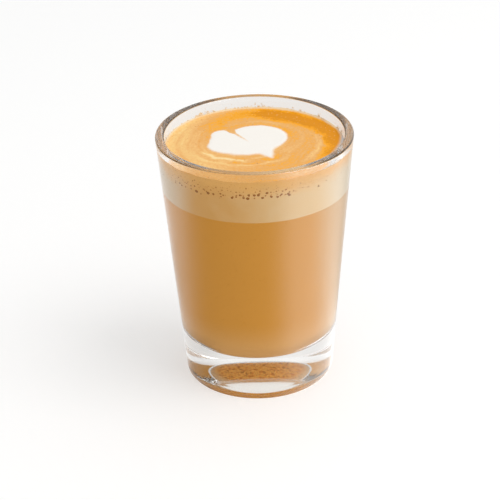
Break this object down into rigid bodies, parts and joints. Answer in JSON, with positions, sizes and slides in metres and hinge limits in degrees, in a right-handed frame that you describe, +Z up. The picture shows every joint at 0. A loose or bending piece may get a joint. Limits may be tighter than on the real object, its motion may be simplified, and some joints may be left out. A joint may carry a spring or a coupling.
{
  "type": "cortado in a glass tumbler",
  "caption": "Small heavy-based glass tumbler of milky coffee with a foam layer, brown crema and a white poured heart on top.",
  "frame": {"origin": "middle of the circle the glass stands on, at the height of its foot", "axes": "+Z up along the glass's axis; -Y is the side seen from the front, +X to the right; the heart's point is towards +X, -Y"},
  "size_m": [0.0658, 0.0658, 0.0884],
  "materials": {
    "clear_glass": "clear pressed glass, fire-polished rim",
    "milky_coffee": "opaque milky coffee seen through glass",
    "milk_foam": "fine pale coffee foam with small bubbles",
    "crema": "orange-brown crema foam, satin",
    "white_foam": "white milk microfoam, satin"
  },
  "bodies": {
    "root": {"glass": "clear_glass", "coffee": "milky_coffee", "milk_foam": "milk_foam", "crema": "crema", "milk_heart": "white_foam"}
  },
  "joints": []
}
